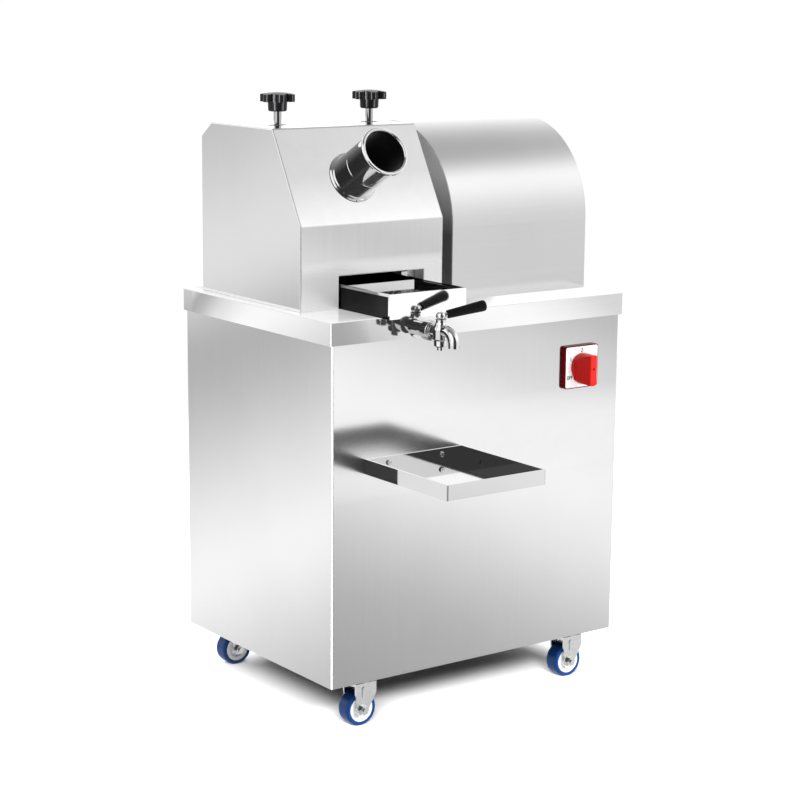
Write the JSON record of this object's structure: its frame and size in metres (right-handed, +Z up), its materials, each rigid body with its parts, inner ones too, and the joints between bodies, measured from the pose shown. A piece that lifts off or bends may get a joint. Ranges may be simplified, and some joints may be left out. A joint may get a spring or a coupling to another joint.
{
  "type": "sugarcane juicer",
  "caption": "Steel sugarcane juicer on casters: sloped roller head with inclined feed tube, arched drive hood, juice trough with tap, rotary switch and drip tray on a cabinet.",
  "frame": {"origin": "on the floor under the middle of the whole machine", "axes": "+Z up, front with tap and switch towards -Y, drive hood towards +X"},
  "size_m": [0.548, 0.63, 0.9193],
  "materials": {
    "sheet_steel": "polished stainless sheet",
    "polished_steel": "bright turned stainless",
    "mill_steel": "machined plate",
    "roller_steel": "turned and grooved",
    "zinc": "zinc plated",
    "bronze": "machined",
    "cast_iron": "cut gear, oiled",
    "frame_paint": "grey primer",
    "motor_paint": "dark enamel",
    "aluminium": "die cast",
    "chrome": "mirror plated",
    "black_plastic": "moulded",
    "red_plastic": "moulded",
    "white_plastic": "moulded plate",
    "blue_tyre": "moulded polyurethane",
    "wheel_centre": "moulded"
  },
  "bodies": {
    "machine": {"cabinet_wrap": "sheet_steel", "cabinet_base": "sheet_steel", "rear_panel": "sheet_steel", "worktop": "sheet_steel", "head_cover": "sheet_steel", "drive_hood": "sheet_steel", "cabinet_frame": "frame_paint", "panel_screws": "zinc", "feed_collar": "polished_steel", "feed_tube": "polished_steel", "cheek_left": "mill_steel", "cheek_right": "mill_steel", "tie_rods": "zinc", "roller_bushes": "bronze", "screw_nuts": "mill_steel", "trash_plate": "mill_steel", "rear_scraper": "mill_steel", "bagasse_chute": "sheet_steel", "juice_trough": "sheet_steel", "juice_elbow": "mill_steel", "tap_body": "chrome", "tap_nut": "bronze", "switch_box": "red_plastic", "switch_plate": "white_plastic", "drip_tray": "sheet_steel", "drip_tray_screws": "zinc", "motor": "motor_paint", "fan_cowl": "motor_paint", "gear_reducer": "aluminium", "reducer_bracket": "frame_paint", "mill_bolts": "zinc", "cable_gland": "black_plastic", "caster_stems": "zinc"},
    "rear_mill_roller": {"rear_roller": "roller_steel", "rear_gear": "cast_iron"},
    "front_mill_roller": {"front_roller": "roller_steel", "front_gear": "cast_iron"},
    "top_mill_roller": {"top_roller": "roller_steel", "top_gear": "cast_iron"},
    "carriage": {"bearing_blocks": "bronze"},
    "adjuster_left": {"pressure_screw_left": "polished_steel", "knob_left": "black_plastic"},
    "adjuster_right": {"pressure_screw_right": "polished_steel", "knob_right": "black_plastic"},
    "strainer_basket": {"strainer": "sheet_steel"},
    "tap_handle": {"tap_lever": "chrome", "tap_grip": "black_plastic"},
    "switch_handle": {"switch_knob": "red_plastic"},
    "fork_front_left": {"caster_fork_front_left": "zinc"},
    "wheel_front_left": {"caster_tyre_front_left": "blue_tyre", "caster_hub_front_left": "wheel_centre"},
    "fork_front_right": {"caster_fork_front_right": "zinc"},
    "wheel_front_right": {"caster_tyre_front_right": "blue_tyre", "caster_hub_front_right": "wheel_centre"},
    "fork_rear_left": {"caster_fork_rear_left": "zinc"},
    "wheel_rear_left": {"caster_tyre_rear_left": "blue_tyre", "caster_hub_rear_left": "wheel_centre"},
    "fork_rear_right": {"caster_fork_rear_right": "zinc"},
    "wheel_rear_right": {"caster_tyre_rear_right": "blue_tyre", "caster_hub_rear_right": "wheel_centre"}
  },
  "joints": [
    {"name": "rear_roller_spin", "type": "hinge", "parent": "machine", "child": "rear_mill_roller", "pos_m": [-0.124, 0.16, 0.712], "axis": [1, 0, 0], "continuous": true},
    {"name": "front_roller_spin", "type": "hinge", "parent": "machine", "child": "front_mill_roller", "pos_m": [-0.124, 0.066, 0.712], "axis": [1, 0, 0], "continuous": true},
    {"name": "carriage_lift", "type": "slide", "parent": "machine", "child": "carriage", "axis": [0, 0, 1], "range_m": [0, 0.00145]},
    {"name": "top_roller_spin", "type": "hinge", "parent": "carriage", "child": "top_mill_roller", "pos_m": [-0.124, 0.113, 0.78162], "axis": [1, 0, 0], "continuous": true},
    {"name": "left_screw_turn", "type": "hinge", "parent": "carriage", "child": "adjuster_left", "pos_m": [-0.208, 0.113, 0.882], "axis": [0, 0, 1], "range_deg": [0, 300]},
    {"name": "right_screw_turn", "type": "hinge", "parent": "carriage", "child": "adjuster_right", "pos_m": [-0.042, 0.113, 0.882], "axis": [0, 0, 1], "range_deg": [0, 300]},
    {"name": "strainer_lift", "type": "slide", "parent": "machine", "child": "strainer_basket", "axis": [0, 0, 1], "range_m": [0, 0.06]},
    {"name": "tap_turn", "type": "hinge", "parent": "machine", "child": "tap_handle", "pos_m": [-0.122, -0.18, 0.617], "axis": [0, 0, 1], "range_deg": [-76, 14]},
    {"name": "switch_turn", "type": "hinge", "parent": "machine", "child": "switch_handle", "pos_m": [0.1885, -0.145, 0.5045], "axis": [0, -1, 0], "range_deg": [0, 120]},
    {"name": "swivel_front_left", "type": "hinge", "parent": "machine", "child": "fork_front_left", "pos_m": [-0.2, -0.095, 0.064], "axis": [0, 0, 1], "continuous": true},
    {"name": "roll_front_left", "type": "hinge", "parent": "fork_front_left", "child": "wheel_front_left", "pos_m": [-0.205, -0.095, 0.026], "axis": [0, 1, 0], "continuous": true},
    {"name": "swivel_front_right", "type": "hinge", "parent": "machine", "child": "fork_front_right", "pos_m": [0.2, -0.095, 0.064], "axis": [0, 0, 1], "continuous": true},
    {"name": "roll_front_right", "type": "hinge", "parent": "fork_front_right", "child": "wheel_front_right", "pos_m": [0.195, -0.095, 0.026], "axis": [0, 1, 0], "continuous": true},
    {"name": "swivel_rear_left", "type": "hinge", "parent": "machine", "child": "fork_rear_left", "pos_m": [-0.2, 0.253, 0.064], "axis": [0, 0, 1], "continuous": true},
    {"name": "roll_rear_left", "type": "hinge", "parent": "fork_rear_left", "child": "wheel_rear_left", "pos_m": [-0.205, 0.253, 0.026], "axis": [0, 1, 0], "continuous": true},
    {"name": "swivel_rear_right", "type": "hinge", "parent": "machine", "child": "fork_rear_right", "pos_m": [0.2, 0.253, 0.064], "axis": [0, 0, 1], "continuous": true},
    {"name": "roll_rear_right", "type": "hinge", "parent": "fork_rear_right", "child": "wheel_rear_right", "pos_m": [0.195, 0.253, 0.026], "axis": [0, 1, 0], "continuous": true}
  ],
  "couplings": [
    {"joint": "top_roller_spin", "follows": "rear_roller_spin", "ratio": -1},
    {"joint": "front_roller_spin", "follows": "rear_roller_spin", "ratio": 1},
    {"joint": "left_screw_turn", "follows": "carriage_lift", "rad_per_m": 3590.4},
    {"joint": "right_screw_turn", "follows": "carriage_lift", "rad_per_m": 3590.4}
  ]
}
